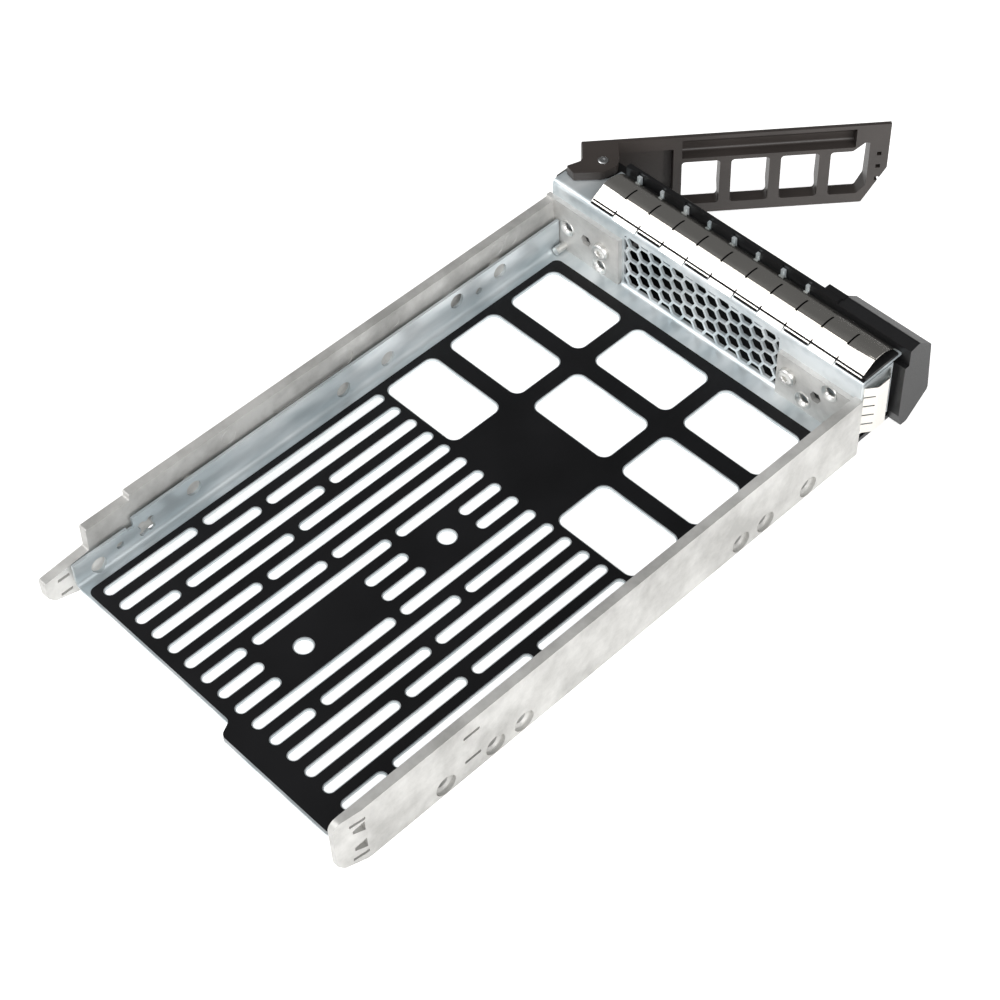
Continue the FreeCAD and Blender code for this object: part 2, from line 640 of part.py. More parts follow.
# hollow rivets, flared into the countersinks
rivetNames = ["hinge_block_outer_rivet", "hinge_block_lower_rivet", "latch_block_lower_rivet", "latch_block_outer_rivet"]
for label, at in zip(rivetNames, hingeSinks + latchSinks):
    name = label.title().replace("_", "")
    flare = rod(name + "Flare", "y", at, blockRear + " - sinkDeep", blockRear, "screwShank - 0.05", "sinkHead - 0.05")
    shank = rod(name + "Shank", "y", at, blockRear + " - screwLong", blockRear + " - sinkDeep", "screwShank - 0.05")
    hollow = rod(name + "Hollow", "y", at, blockRear + " - screwLong - 1", blockRear + " - sinkDeep",
                 "screwShank - 0.05 - rivetWall")
    mouth = rod(name + "Mouth", "y", at, blockRear + " - sinkDeep - 0.01", blockRear + " + 0.01",
                "screwShank - 0.05 - rivetWall", "sinkHead - 0.05 - rivetWall")
    keep(cut(name, fuse(name + "Blank", [flare, shank]), [hollow, mouth]), label)
for side, label in ((1, "hinge_corner_pin"), (-1, "latch_corner_pin")):
    x = mirrored(side, "(wallIn - cornerPinIn)")
    keep(rod(label.title().replace("_", ""), "y", (x, "cornerPin"), blockRear, blockRear + " + cornerPinLong",
             "cornerPin"), label)

# ---- spring-finger gaskets
strip = prism("GasketStrip", "YZ", "gasketFrom", "gasketTo", [
    ("front + gasketRear", "flangeTop"), ("front + gasketRear", "flangeTop + gasketThick"),
    ("front + gasketFold", "flangeTop + gasketRise", "gasketCurve"),
    ("front + gasketKnee", "flangeTop + gasketRise - 0.8", "gasketCurve"),
    ("front + gasketFront", "flangeTop + gasketThick"), ("front + gasketFront", "flangeTop"),
    ("front + gasketFront + gasketThick", "flangeTop"),
    ("front + gasketKnee + gasketThick / 2", "flangeTop + gasketRise - 0.8 - gasketThick", "gasketCurve - gasketThick"),
    ("front + gasketFold", "flangeTop + gasketRise - gasketThick", "gasketCurve - gasketThick"),
    ("front + gasketRear - gasketThick", "flangeTop")])
slits = []
for index in range(1, 11):
    middle = "gasketTo - %d * fingerPitch" % index
    across = (middle + " - fingerSlit / 2", middle + " + fingerSlit / 2")
    slits.append(box("RearSlit%d" % index, across, ("front + gasketRear - slitRear", "front + gasketRear + 1"),
                     ("flangeTop - 1", "flangeTop + 6")))
    slits.append(box("TopSlit%d" % index, across, ("front + slitTopFrom", "front + slitTopTo"),
                     ("flangeTop + 1.5", "flangeTop + 6")))
keep(cut("TopGasket", strip, [group("GasketSlits", slits)]), "top_gasket")
for side, label, node in ((1, "Hinge", "hinge_side_gasket"), (-1, "Latch", "latch_side_gasket")):
    face = mirrored(side, "frontHalf")
    out = mirrored(side, "(frontHalf + sideGasketOut)")
    inner = mirrored(side, "(frontHalf + sideGasketOut - gasketThick)")
    skin = mirrored(side, "(frontHalf + gasketThick)")
    ribbon = prism(label + "Ribbon", "XY", "sideGasketLow", "sideGasketHigh", [
        (face, "front + sideGasketRear"), (skin, "front + sideGasketRear"),
        (out, "front + sideGasketRear - 3.0", 1.4), (out, "front + sideGasketFront + 3", 1.4),
        (skin, "front + sideGasketFront"), (face, "front + sideGasketFront"),
        (face, "front + sideGasketFront + gasketThick"), (inner, "front + sideGasketFront + 3.1", 1.1),
        (inner, "front + sideGasketRear - 3.1", 1.1), (face, "front + sideGasketRear - gasketThick")])
    slits = []
    for index in range(1, 5):
        middle = "sideGasketLow + %d * (sideGasketHigh - sideGasketLow) / 5" % index
        up = (middle + " - fingerSlit / 2", middle + " + fingerSlit / 2")
        slits.append(box("%sRearSlit%d" % (label, index), span(side, "frontHalf - 1", "frontHalf + 6"),
                         ("front + sideGasketRear - sideSlitLong", "front + sideGasketRear + 1"), up))
        slits.append(box("%sFrontSlit%d" % (label, index), span(side, "frontHalf - 1", "frontHalf + 6"),
                         ("front + sideGasketFront - 1", "front + sideGasketFront + sideSlitLong"), up))
    keep(cut(label + "Gasket", ribbon, [group(label + "RibbonSlits", slits)]), node)

# ---- bezel: the bar across the front, the latch housing and the hinge block
bar = prism("Bar", "YZ", "latchFrom", "barTo", [
    ("front + barRear", "bezelLow"), ("front + barRear", "bezelTop"), ("front + barFront", "bezelTop", 0.8),
    ("front + barFront", "bezelLow", 0.8)])
shelf = prism("Shelf", "YZ", "latchFrom - 0.5", "shelfFrom", [
    ("front + barFront + 0.5", "bezelLow"), ("front + barFront + 0.5", "bezelTop"), ("front + shelfFront", "bezelTop", 0.8),
    ("front + shelfFront", "bezelLow", 0.8)])
housing = prism("LatchHousing", "YZ", "-bezelHalf", "latchFrom", [
    ("front + latchRear", "bezelLow + 4.5"), ("front + latchRear", "bezelTop - 6"), ("front + barRear", "bezelTop - 6"),
    ("front + barRear", "bezelTop - 0.8"), ("front + shelfFront + 0.6", "bezelTop - 0.2", 1.0),
    ("front + latchFront + 1.4", "bezelTop - 4", 1.5), ("front + latchFront", "bezelLow + 6.8", 1.5),
    ("front + barFront", "bezelLow", 1.5), ("front + barRear", "bezelLow")])
hingeX = "pinX"
hingeY = "(front + pinY)"
knuckle = prism("HingeKnuckle", "XY", "handleLow + lugThick + boreGap", "flangeTop - sheet - boreGap", [
    ("barTo - 4", hingeY + " - hingeBoss"), ("pinX + hingeBoss", hingeY + " - hingeBoss", "hingeBoss - 0.1"),
    ("pinX + hingeBoss", hingeY + " + hingeBoss", "hingeBoss - 0.1"), ("barTo - 4", hingeY + " + hingeBoss")])
neck = rod("HingeNeck", "z", pinXY, "flangeTop - sheet - boreGap - 0.5", "handleTop - lugThick - boreGap", "pinRadius + 1.6")
skirt = box("BezelSkirt", ("skirtLatch", "skirtHinge"), ("front + barRear - 0.5", "front + skirtTo"),
            ("bezelLow", "bezelLow + skirtThick"))
bezelBlank = fuse("BezelBlank", [bar, shelf, housing, knuckle, neck, skirt])
cuts = [rod("PinBore", "z", pinXY, "handleLow", "handleTop", "pinRadius + pinClear")]
cuts.append(rod("CoilWell", "z", pinXY, "coilLow - coilClear", "coilHigh + coilClear", "coilRadius + coilClear"))
for index in range(4):
    left = "pinX + gripFrom - %d * gripPitch - gripLong" % index
    cuts.append(prism("BarWindow%d" % index, "XZ", "front + barFront - 1", "front + barRear + 1", [
        (left, "gripLow", "gripRound"), (left + " + gripLong", "gripLow", "gripRound"),
        (left + " + gripLong", "gripHigh", "gripRound"), (left, "gripHigh", "gripRound")]))
for index, middle in enumerate(tabCentres):
    cuts.append(box("TabNotch%d" % index, (middle + " - (tabApart + tabWide) / 2 - tabClear", middle + " + (tabApart + tabWide) / 2 + tabClear"),
                    ("front + flangeTo - sheet - tabClear", "front + barRear + 0.5"),
                    ("flangeTop - sheet - tabClear", "bezelTop + 1")))
buttonX = ("buttonX - buttonWide / 2", "buttonX + buttonWide / 2")
cuts.append(box("ButtonWell", (buttonX[0] + " - buttonClear", buttonX[1] + " + buttonClear"),
                ("front + latchFront - 2", "front + buttonRear + buttonTravel + buttonClear"),
                ("buttonLow - buttonClear", "buttonHigh + buttonClear")))
cuts.append(rod("SpringWell", "y", ("buttonX", "(buttonLow + buttonHigh) / 2"), "front + buttonRear + buttonTravel",
                "front + latchRear - 1", "springRadius + 0.4"))
keep(cut("Bezel", bezelBlank, cuts), "bezel")

# ---- release button and its spring
cap = prism("ButtonCap", "YZ", buttonX[0], buttonX[1], [
    ("front + buttonRear", "buttonLow"), ("front + buttonRear", "buttonHigh"),
    ("front + latchFront + 1.2 - buttonOut", "buttonHigh", 1.0), ("front + latchFront - buttonOut", "buttonLow", 1.0)])
keep(cap, "release_button")
springFrom = "front + buttonRear"
springTo = "front + latchRear - 1"
springAt = ("buttonX", "(buttonLow + buttonHigh) / 2")
tube = rod("SpringTube", "y", springAt, springFrom, springTo, "springRadius")
core = rod("SpringCore", "y", springAt, springFrom + " - 1", springTo + " + 1", "springRadius - springWire")
keep(cut("ButtonSpring", tube, [core]), "button_spring")

# ---- hinge pin and its clip
pin = rod("Pin", "z", pinXY, "handleLow - clipThick - 0.1", "handleTop", "pinRadius")
groove = rod("PinGroove", "z", pinXY, "handleLow - clipThick - 0.05", "handleLow - 0.05", "pinRadius + 1")
grooveCore = rod("PinGrooveCore", "z", pinXY, "handleLow - clipThick - 0.1", "handleLow", "pinRadius - 0.4")
keep(cut("HingePin", pin, [cut("PinGrooveRing", groove, [grooveCore])]), "hinge_pin")
clip = rod("Clip", "z", pinXY, "handleLow - clipThick - 0.05", "handleLow - 0.05", "clipRadius")
clipCore = rod("ClipCore", "z", pinXY, "handleLow - clipThick - 1", "handleLow + 1", "pinRadius - 0.4")
clipGap = box("ClipGap", ("pinX", "pinX + clipRadius + 1"), ("front + pinY - 0.9", "front + pinY + 0.9"),
              ("handleLow - clipThick - 1", "handleLow + 1"))
keep(cut("PinClip", clip, [clipCore, clipGap]), "hinge_pin_clip")

# torsion spring round the pin, inside the knuckle
coil = rod("Coil", "z", pinXY, "coilLow", "coilHigh", "coilRadius")
coilHole = rod("CoilHole", "z", pinXY, "coilLow - 1", "coilHigh + 1", "coilRadius - coilWire")
keep(cut("HandleSpring", coil, [coilHole]), "handle_spring")

# ---- handle, drawn closed about its pin and swung open
front = "handleRear - handleDeep"
body = prism("HandleBody", "YZ", "handleTip", "handleEnd", [
    ("handleRear", "handleLow"), ("handleRear", "handleTop"), ("handleRear - 1.2", "handleTop", 0.8),
    (front + " + 1.3", "handleTop - 3.8", 1.5), (front, "handleLow + 6.6", 1.5), ("handleRear - 1.8", "handleLow", 1.0)])
lugs = []
for label, low, high in (("Top", "handleTop - lugThick", "handleTop"), ("Low", "handleLow", "handleLow + lugThick")):
    lugs.append(prism(label + "Lug", "XY", low, high, [
        ("handleEnd", "handleRear - 0.6"), ("handleEnd + 0.5", "-0.6", 1.6), ("clawOut", "1.2", 0.4),
        ("clawOut - 1.6", "4.3", 0.8), ("0.6", "4.8", 2.4), ("-3.8", "2.4", 2.0), ("-4.6", "-1.8", 1.5),
        ("-4.8", "handleRear - 0.6")]))
handleBlank = fuse("HandleBlank", [body] + lugs)
cuts = [rod("LugBore", "z", ("0", "0"), "handleLow - 1", "handleTop + 1", "pinRadius + pinClear")]
for index in range(4):
    left = "gripFrom - %d * gripPitch - gripLong" % index
    corners = [(left, "gripLow", "gripRound"), (left + " + gripLong", "gripLow", "gripRound"),
               (left + " + gripLong", "gripHigh", "gripRound"), (left, "gripHigh", "gripRound")]
    if index == 3:
        # the last window rises towards its outer top corner and loses its lower one
        corners = [(left, "gripLow + 3.0", "gripRound"), (left + " + 2.6", "gripLow", "gripRound")] + corners[1:3]
        corners += [(left + " + 4.6", "gripHigh", "gripRound"), (left + " + 1.4", "gripHigh + gripRise", 0.5),
                    (left, "gripHigh + gripRise", 0.5)]
    cuts.append(prism("GripWindow%d" % index, "XZ", front + " - 1", "handleRear + 1", corners))
# channel along the top of the rear face, a wall's thickness inside the front
cuts.append(prism("GripChannel", "YZ", "handleTip + 9.5", "hollowFrom - 2.4", [
    ("handleRear + 1", "channelLow"), ("handleRear + 1", "channelHigh + 0.6"),
    ("handleRear - 1.2", "channelHigh + 0.3", 0.5), (front + " + 1.3 + handleWall", "handleTop - 4.6", 0.8),
    (front + " + 1.1 + handleWall", "channelLow", 0.8)]))
cuts.append(box("GripHollow", ("hollowFrom", "hollowTo"), ("handleRear - hollowDeep", "handleRear + 1"),
                ("gripLow - 1.5", "channelHigh - 2.5")))
cuts.append(box("GripWell", ("hollowFrom", "hollowFrom + hollowWell"), ("handleRear - hollowDeep - 1.2", "handleRear + 1"),
                ("gripLow - 1.5", "channelHigh - 2.5")))
for index in range(3):
    up = "gripLow + 4.5 + %d * 4.6" % index
    cuts.append(box("TipSlot%d" % index, ("handleTip + 2.0", "handleTip + 2.0 + tipSlot"), ("handleRear - 2.5", "handleRear + 1"),
                    (up, up + " + tipSlot")))
cuts.append(prism("TipCorner", "XZ", front + " - 1", "handleRear + 1", [
    ("handleTip - 1", "handleLow + 14.5"), ("handleTip - 1", "handleLow - 1"), ("handleTip + 7", "handleLow - 1")]))
handle = cut("Handle", handleBlank, cuts)
bind(handle, "Placement.Base.x", "pinX")
bind(handle, "Placement.Base.y", "front + pinY")
bind(handle, "Placement.Rotation.Angle", "openAngle")
keep(handle, "handle")

doc.recompute()
wrong = []
for thing in doc.Objects:
    if "Invalid" in thing.State or "Error" in thing.State:
        wrong.append("%s %s" % (thing.Name, thing.State))
for thing in nodes:
    if thing.Shape.isNull() or not thing.Shape.isValid() or not thing.Shape.Solids:
        wrong.append(thing.Label)
if wrong:
    raise SystemExit("failed: " + ", ".join(wrong))
os.makedirs("parts", exist_ok=True)
for thing in nodes:
    thing.Shape.exportStep("parts/%s.step" % thing.Label)
    shape = thing.Shape
    print(thing.Label, len(shape.Solids), round(shape.Volume, 1), [round(v, 2) for v in (
        shape.BoundBox.XMin, shape.BoundBox.XMax, shape.BoundBox.YMin, shape.BoundBox.YMax,
        shape.BoundBox.ZMin, shape.BoundBox.ZMax)])
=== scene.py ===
import bpy
import bmesh
import json
import math
from mathutils import Matrix, Vector


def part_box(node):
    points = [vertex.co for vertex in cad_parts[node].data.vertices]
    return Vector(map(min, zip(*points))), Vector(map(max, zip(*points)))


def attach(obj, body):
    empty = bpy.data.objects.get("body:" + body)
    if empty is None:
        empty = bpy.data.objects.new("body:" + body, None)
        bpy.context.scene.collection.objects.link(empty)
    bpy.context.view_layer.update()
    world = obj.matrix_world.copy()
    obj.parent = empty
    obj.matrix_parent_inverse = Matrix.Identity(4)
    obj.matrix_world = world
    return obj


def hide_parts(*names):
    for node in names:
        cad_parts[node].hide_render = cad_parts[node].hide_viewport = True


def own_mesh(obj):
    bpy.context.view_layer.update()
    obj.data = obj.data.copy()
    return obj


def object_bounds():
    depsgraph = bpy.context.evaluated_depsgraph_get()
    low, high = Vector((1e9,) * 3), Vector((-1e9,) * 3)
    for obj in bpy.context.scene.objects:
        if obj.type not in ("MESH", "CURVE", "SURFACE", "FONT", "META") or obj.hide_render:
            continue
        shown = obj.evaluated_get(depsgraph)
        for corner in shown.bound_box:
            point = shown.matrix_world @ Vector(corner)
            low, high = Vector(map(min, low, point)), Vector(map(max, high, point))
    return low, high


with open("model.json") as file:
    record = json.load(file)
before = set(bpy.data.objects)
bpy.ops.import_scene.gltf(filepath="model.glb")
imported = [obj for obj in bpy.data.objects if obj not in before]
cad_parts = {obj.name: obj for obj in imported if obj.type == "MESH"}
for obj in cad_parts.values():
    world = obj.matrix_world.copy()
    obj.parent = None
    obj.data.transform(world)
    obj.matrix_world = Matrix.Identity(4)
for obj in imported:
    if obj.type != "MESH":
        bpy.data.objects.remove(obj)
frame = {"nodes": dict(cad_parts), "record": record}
packedLow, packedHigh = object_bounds()
print("frame loaded:", len(frame["nodes"]), "nodes")


def linear(code):
    # sRGB hex to linear colour
    parts = [int(code[i:i + 2], 16) / 255 for i in (1, 3, 5)]
    return [p / 12.92 if p <= 0.04045 else ((p + 0.055) / 1.055) ** 2.4 for p in parts] + [1.0]


def perMetre(size):
    # pattern scale for a feature of so many millimetres
    return 1000.0 / size


def addNode(tree, kind, settings=None, inputs=None):
    # a node with its settings; an input is a value or another node's socket
    node = tree.nodes.new(kind)
    for key, setting in (settings or {}).items():
        setattr(node, key, setting)
    for key, given in (inputs or {}).items():
        if isinstance(given, bpy.types.NodeSocket):
            tree.links.new(given, node.inputs[key])
        else:
            node.inputs[key].default_value = given
    return node


def startMaterial(name):
    material = bpy.data.materials.new(name)
    material.use_nodes = True
    tree = material.node_tree
    tree.nodes.clear()
    out = addNode(tree, "ShaderNodeOutputMaterial")
    place = addNode(tree, "ShaderNodeTexCoord").outputs["Object"]
    return material, tree, out, place


def closeMaterial(material, tree, out, inputs):
    shader = addNode(tree, "ShaderNodeBsdfPrincipled", {}, inputs)
    tree.links.new(shader.outputs["BSDF"], out.inputs["Surface"])
    return material


def stretched(tree, place, scale):
    # the place scaled along each axis, which draws a pattern out where the scale is small
    return addNode(tree, "ShaderNodeMapping", {}, {"Vector": place, "Scale": scale}).outputs["Vector"]


def noiseAt(tree, place, size, detail=2.0, rough=0.5):
    return addNode(tree, "ShaderNodeTexNoise", {}, {
        "Vector": place, "Scale": perMetre(size), "Detail": detail, "Roughness": rough}).outputs["Fac"]


def rampBetween(tree, factor, low, high, dark, light):
    ramp = addNode(tree, "ShaderNodeValToRGB", {}, {"Fac": factor})
    ends = ramp.color_ramp.elements
    ends[0].position = low
    ends[1].position = high
    ends[0].color = linear(dark)
    ends[1].color = linear(light)
    return ramp.outputs["Color"]


def spread(tree, factor, low, high):
    # a noise value moved to a range, for roughness
    return addNode(tree, "ShaderNodeMapRange", {}, {
        "Value": factor, "From Min": 0.3, "From Max": 0.7, "To Min": low, "To Max": high}).outputs["Result"]


def bumpFrom(tree, factor, depth):
    # depth in millimetres
    return addNode(tree, "ShaderNodeBump", {}, {
        "Height": factor, "Distance": depth / 1000, "Strength": 1.0}).outputs["Normal"]


def galvanisedSteel():
    # zinc-coated sheet, rolled and folded: cool blue grey, glossy streaks with soft cloudy spangle
    material, tree, out, place = startMaterial("galvanisedTraySteel")
    streaks = stretched(tree, place, (1.0, 0.35, 1.0))
    cloud = noiseAt(tree, streaks, 11.0, 3.0, 0.55)
    fine = noiseAt(tree, streaks, 0.8, 2.0)
    return closeMaterial(material, tree, out, {
        "Base Color": rampBetween(tree, cloud, 0.35, 0.62, "#B6C0C4", "#E2E7E9"),
        "Metallic": 0.5,
        "Roughness": spread(tree, cloud, 0.3, 0.42),
        "Normal": bumpFrom(tree, fine, 0.003)})


def castZinc():
    # die-cast zinc, tumbled: warm mid grey with paler flow patches and a fine sparkling grit
    material, tree, out, place = startMaterial("tumbledCastZinc")
    cloud = noiseAt(tree, place, 16.0, 5.0, 0.62)
    grit = noiseAt(tree, place, 0.6, 3.0, 0.7)
    return closeMaterial(material, tree, out, {
        "Base Color": rampBetween(tree, cloud, 0.36, 0.64, "#ABAAA7", "#D2D1CE"),
        "Metallic": 0.35,
        "Roughness": spread(tree, grit, 0.36, 0.52),
        "Normal": bumpFrom(tree, grit, 0.025)})


def springSteel():
    # bright-rolled stainless strip: near mirror, fine rolling lines along the strip
    material, tree, out, place = startMaterial("brightStainlessStrip")
    haze = noiseAt(tree, stretched(tree, place, (0.12, 1.0, 1.0)), 1.2, 3.0)
    return closeMaterial(material, tree, out, {
        "Base Color": linear("#E3E0DA"),
        "Metallic": 1.0,
        "Roughness": spread(tree, haze, 0.14, 0.26),
        "Normal": bumpFrom(tree, haze, 0.004)})


def polycarbonateFilm():
    # embossed black polycarbonate sheet: deep black, low even sheen from a fine velvet grain
    material, tree, out, place = startMaterial("blackPolycarbonateFilm")
    grain = noiseAt(tree, place, 0.45, 2.0)
    cloud = noiseAt(tree, place, 25.0, 2.0)
    return closeMaterial(material, tree, out, {
        "Base Color": rampBetween(tree, cloud, 0.3, 0.7, "#070709", "#0D0D10"),
        "Roughness": spread(tree, cloud, 0.46, 0.56),
        "Specular IOR Level": 0.3,
        "Normal": bumpFrom(tree, grain, 0.008)})


def mouldedPlastic(name, dark, light, rough):
    # moulded ABS with spark-eroded grain: even colour, fine pits, soft sheen on the rounded edges
    material, tree, out, place = startMaterial(name)
    grain = noiseAt(tree, place, 0.4, 3.0)
    cloud = noiseAt(tree, place, 18.0, 2.0)
    return closeMaterial(material, tree, out, {
        "Base Color": rampBetween(tree, cloud, 0.3, 0.7, dark, light),
        "Roughness": spread(tree, grain, rough - 0.05, rough + 0.06),
        "IOR": 1.53,
        "Normal": bumpFrom(tree, grain, 0.012)})


def platedSteel(name, colour, rough):
    # zinc-plated turned steel: bright with faint handling marks
    material, tree, out, place = startMaterial(name)
    marks = noiseAt(tree, place, 0.8, 3.0)
    return closeMaterial(material, tree, out, {
        "Base Color": linear(colour),
        "Metallic": 1.0,
        "Roughness": spread(tree, marks, rough - 0.05, rough + 0.08),
        "Normal": bumpFrom(tree, marks, 0.006)})


finishes = {
    "tray_steel": galvanisedSteel(),
    "black_film": polycarbonateFilm(),
    "cast_zinc": castZinc(),
    "spring_steel": springSteel(),
    "screw_steel": platedSteel("zincPlatedScrewSteel", "#E6E5E2", 0.33),
    "pin_steel": platedSteel("groundPinSteel", "#C9CACB", 0.24),
    "black_plastic": mouldedPlastic("blackMouldedAbs", "#0D0D0E", "#131315", 0.42),
    "grey_plastic": mouldedPlastic("warmGreyMouldedAbs", "#35302D", "#403A37", 0.42),
}
slotOf = {part["node"]: part["material_slot"] for part in frame["record"]["subparts"]}
for name in frame["nodes"]:
    thing = bpy.data.objects[name]
    thing.data.materials.clear()
    thing.data.materials.append(finishes[slotOf[name]])
print("materials on", len(slotOf), "pieces")

# points closer than this are one point, and edges over this angle stay sharp
meshing = {"same": 0.000002, "sharp": math.radians(35.0)}


def linkObject(name, data):
    thing = bpy.data.objects.new(name, data)
    bpy.context.scene.collection.objects.link(thing)
    return thing


def addPiece(mesh, name, slot, body, replaced=None):
    # smooth shading with the sharp edges kept, then ride, slot and replace
    bmesh.ops.remove_doubles(mesh, verts=mesh.verts, dist=meshing["same"])
    bmesh.ops.recalc_face_normals(mesh, faces=mesh.faces)
    for face in mesh.faces:
        face.smooth = True
    for edge in mesh.edges:
        if len(edge.link_faces) == 2:
            edge.smooth = edge.calc_face_angle() < meshing["sharp"]
    data = bpy.data.meshes.new(name)
    mesh.to_mesh(data)
    mesh.free()
    data.materials.append(finishes[slot])
    piece = linkObject(name, data)
    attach(piece, body)
    if replaced:
        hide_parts(replaced)
    return piece


def grow(mesh, edges):
    # new edges and points extruded from an open line
    grown = bmesh.ops.extrude_edge_only(mesh, edges=edges)["geom"]
    newEdges = [item for item in grown if isinstance(item, bmesh.types.BMEdge)]
    newVerts = [item for item in grown if isinstance(item, bmesh.types.BMVert)]
    return newEdges, newVerts


def turned(mesh, start, direction, rings, segments=48, hollow=False):
    # a lathed shape: each ring is (distance along, radius), and may end with a depth of six lobes
    turn = Vector((0, 0, 1)).rotation_difference(Vector(direction)).to_matrix().to_4x4()
    place = Matrix.Translation(Vector(start)) @ turn
    loop = bmesh.ops.create_circle(mesh, cap_ends=False, segments=segments, radius=1.0)["verts"]
    edges = list(dict.fromkeys(edge for v in loop for edge in v.link_edges))
    first = edges
    for index, ring in enumerate(rings):
        along, radius = ring[:2]
        lobe = ring[2] if len(ring) > 2 else 0.0
        if index:
            edges, loop = grow(mesh, edges)
        for vert in loop:
            spot = vert.co if not index else place.inverted() @ vert.co
            angle = math.atan2(spot.y, spot.x)
            reach = radius + lobe * math.cos(6 * angle)
            vert.co = place @ Vector((reach * math.cos(angle), reach * math.sin(angle), along))
    if hollow:
        bmesh.ops.bridge_loops(mesh, edges=first + edges)
        return
    for rim in (first, edges):
        bmesh.ops.contextual_create(mesh, geom=rim)


def coil(mesh, centre, radius, wire, along, rise, turns):
    # a helix of round wire; along is the axis, rise its whole height
    axis = Vector(along)
    side = axis.orthogonal().normalized()
    ring = bmesh.ops.create_circle(mesh, cap_ends=True, segments=12, radius=wire)["verts"]
    turn = Vector((0, 0, 1)).rotation_difference(axis.cross(side)).to_matrix().to_4x4()
    bmesh.ops.transform(mesh, matrix=Matrix.Translation(Vector(centre) + side * radius) @ turn, verts=ring)
    steps = int(28 * turns)
    face = [f for f in mesh.faces if all(v in ring for v in f.verts)]
    bmesh.ops.spin(mesh, geom=face + ring + [e for f in face for e in f.edges], cent=centre, axis=axis,
                   dvec=axis * (rise / steps), angle=2 * math.pi * turns, steps=steps, use_duplicate=False)


def thicken(mesh, thick):
    # gives an open sheet an underside and closes its rim
    rim = [edge for edge in mesh.edges if edge.is_boundary]
    upper = list(mesh.verts)
    mesh.normal_update()
    under = bmesh.ops.duplicate(mesh, geom=list(mesh.faces))["vert_map"]
    for vert in upper:
        under[vert].co = vert.co - vert.normal * thick
    for edge in rim:
        first, second = edge.verts
        mesh.faces.new((first, second, under[second], under[first]))
    bmesh.ops.recalc_face_normals(mesh, faces=mesh.faces)


# top gasket: bright strip folded to a crease, arched at the front, cut into fingers
gasket = {
    "thick": 0.00025,
    "pitch": 0.00868,
    "slit": 0.0005,
    "arcRadius": 0.0088,
    "arcSteps": 14,
    "slopeShares": (0.35, 0.65, 1.0),
    "creaseBevel": 0.0005,
    "slitTop": 0.0042,       # length of a slit on the arch, from the crease forwards
    "slitRear": 0.0017,
    "creaseAt": 0.0055,      # back from the crease to the rear edge
    "creaseDrop": 0.00035,   # keeps the arch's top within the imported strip's height
    "reach": 0.0011,         # the front edge comes down to the bezel
    "footUp": 0.0003,
    "rearUp": 0.0001,
    "lipDrop": 0.00035,      # every other finger hooks over the flange
    "shorter": 0.11,         # the others stop short by this share of the slope
}
gasketLow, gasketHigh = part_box("top_gasket")
fingers = round((gasketHigh.x - gasketLow.x) / gasket["pitch"])
crease = Vector((gasketLow.x, gasketHigh.y - gasket["creaseAt"], gasketHigh.z - gasket["creaseDrop"]))
rear = Vector((gasketLow.x, gasketHigh.y, gasketLow.z + gasket["rearUp"]))


def gasketSection(strip):
    # the outline at the latch end: an arc from the crease to the front, then the rear slope
    foot = Vector((gasketLow.x, gasketLow.y - gasket["reach"], gasketLow.z + gasket["footUp"]))
    chord = foot - crease
    half = chord.length / 2
    inward = Vector((0, -chord.z, chord.y)).normalized()
    if inward.z > 0:
        inward.negate()
    centre = (crease + foot) / 2 + inward * math.sqrt(gasket["arcRadius"] ** 2 - half ** 2)
    last = strip.verts.new(crease)
    bmesh.ops.spin(strip, geom=[last], cent=centre, axis=(1, 0, 0), use_duplicate=False,
                   angle=2 * math.asin(half / gasket["arcRadius"]), steps=gasket["arcSteps"])
    for share in gasket["slopeShares"]:
        point = strip.verts.new(crease.lerp(rear, share))
        strip.edges.new((last, point))
        last = point
    return list(strip.edges)


def gasketBands(strip, section):
    # the section drawn out along x, with a narrow band for each slit between two fingers
    for index in range(fingers):
        slit = gasket["slit"] if index else gasket["slit"] / 2
        for width in ([slit] if index else []) + [gasket["pitch"] - slit]:
            section, moved = grow(strip, section)
            bmesh.ops.translate(strip, verts=moved, vec=(width, 0, 0))
    bmesh.ops.remove_doubles(strip, verts=strip.verts, dist=meshing["same"])
    onCrease = 10 * meshing["same"]
    ridge = [e for e in strip.edges if all((v.co.yz - crease.yz).length < onCrease for v in e.verts)]
    bmesh.ops.bevel(strip, geom=ridge, offset=gasket["creaseBevel"], affect="EDGES", segments=4,
                    profile=0.5, material=-1)


def gasketSlits(strip):
    # opens the narrow bands on the arch and at the rear edge
    gone = []
    for face in strip.faces:
        spot = face.calc_center_median()
        width = max(v.co.x for v in face.verts) - min(v.co.x for v in face.verts)
        if width < gasket["slit"] * 1.2:
            onArch = crease.y + gasket["creaseBevel"] > spot.y > crease.y - gasket["slitTop"]
            if onArch or spot.y > rear.y - gasket["slitRear"]:
                gone.append(face)
    bmesh.ops.delete(strip, geom=gone, context="FACES")


def gasketFingerEnds(strip):
    nudge = 0.0001
    for vert in strip.verts:
        if vert.co.y <= rear.y - nudge / 10:
            continue
        finger = int((vert.co.x - gasketLow.x - nudge) / gasket["pitch"])
        if finger % 2:
            vert.co.z -= gasket["lipDrop"]
            vert.co.y += gasket["lipDrop"]
        else:
            vert.co = vert.co.lerp(Vector((vert.co.x, crease.y, crease.z)), gasket["shorter"])


strip = bmesh.new()
gasketBands(strip, gasketSection(strip))
gasketSlits(strip)
gasketFingerEnds(strip)
bmesh.ops.recalc_face_normals(strip, faces=strip.faces)
if sum(f.normal.z for f in strip.faces) < 0:
    bmesh.ops.reverse_faces(strip, faces=strip.faces)
thicken(strip, gasket["thick"])
addPiece(strip, "topGasketStrip", "spring_steel", "caddy", "top_gasket")
print("top gasket made with", fingers, "fingers")

